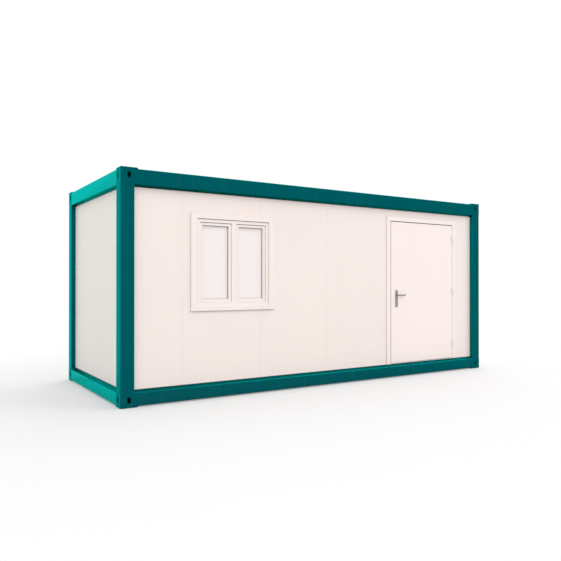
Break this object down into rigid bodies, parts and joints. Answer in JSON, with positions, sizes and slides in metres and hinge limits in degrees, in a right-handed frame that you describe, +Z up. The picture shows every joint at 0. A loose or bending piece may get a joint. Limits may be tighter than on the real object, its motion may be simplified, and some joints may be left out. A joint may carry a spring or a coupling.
{
  "type": "portable site cabin",
  "caption": "Long box cabin with a teal steel frame, recessed white panel walls, a casement window and an outward opening door with a lever handle.",
  "frame": {"origin": "on the ground at the middle of the footprint, at the feet of the bottom castings", "axes": "+X along the front towards the door end, -Y out of the front wall with the door and window, +Z up"},
  "size_m": [6, 2.4, 2.7],
  "materials": {
    "frame_paint": "satin teal paint on folded steel",
    "wall_panel": "warm white coated steel skin, lightly grooved",
    "window_profile": "white moulded profile",
    "opal_pane": "opal glass",
    "door_paint": "warm white satin paint",
    "hinge_steel": "white painted steel",
    "handle_steel": "satin steel",
    "galvanised": "galvanised sheet",
    "floor_covering": "speckled vinyl on chipboard",
    "ceiling_panel": "matt white coated sheet"
  },
  "bodies": {
    "cabin": {"corner_post_front_left": "frame_paint", "corner_post_front_right": "frame_paint", "corner_post_back_left": "frame_paint", "corner_post_back_right": "frame_paint", "bottom_casting_front_left": "frame_paint", "bottom_casting_front_right": "frame_paint", "bottom_casting_back_left": "frame_paint", "bottom_casting_back_right": "frame_paint", "top_casting_front_left": "frame_paint", "top_casting_front_right": "frame_paint", "top_casting_back_left": "frame_paint", "top_casting_back_right": "frame_paint", "bottom_rail_front": "frame_paint", "bottom_rail_back": "frame_paint", "bottom_rail_left": "frame_paint", "bottom_rail_right": "frame_paint", "top_rail_front": "frame_paint", "top_rail_back": "frame_paint", "top_rail_left": "frame_paint", "top_rail_right": "frame_paint", "front_wall_left": "wall_panel", "front_wall_under_window": "wall_panel", "front_wall_over_window": "wall_panel", "front_wall_middle": "wall_panel", "front_wall_over_door": "wall_panel", "front_wall_right": "wall_panel", "back_wall": "wall_panel", "left_wall": "wall_panel", "right_wall": "wall_panel", "floor_cross_members": "galvanised", "roof_cross_members": "galvanised", "underfloor_sheet": "galvanised", "roof_sheet": "galvanised", "floor_deck": "floor_covering", "ceiling_panel": "ceiling_panel", "window_frame": "window_profile", "window_sash_left": "window_profile", "window_sash_right": "window_profile", "window_panes": "opal_pane", "door_frame": "door_paint", "door_hinges_frame_side": "hinge_steel"},
    "door": {"door_leaf": "door_paint", "door_hinges_leaf_side": "hinge_steel", "door_lock_plates": "handle_steel"},
    "handle": {"door_lever_handle": "handle_steel"}
  },
  "joints": [
    {"name": "door_hinge", "type": "hinge", "parent": "cabin", "child": "door", "pos_m": [2.411, -1.158, 1.2585], "axis": [0, 0, 1], "range_deg": [0, 120]},
    {"name": "handle_turn", "type": "hinge", "parent": "door", "child": "handle", "pos_m": [1.197, -1.15, 1.215], "axis": [0, 1, 0], "range_deg": [0, 40], "stiffness_Nm_per_rad": 0.6, "springref_deg": -28.65}
  ]
}
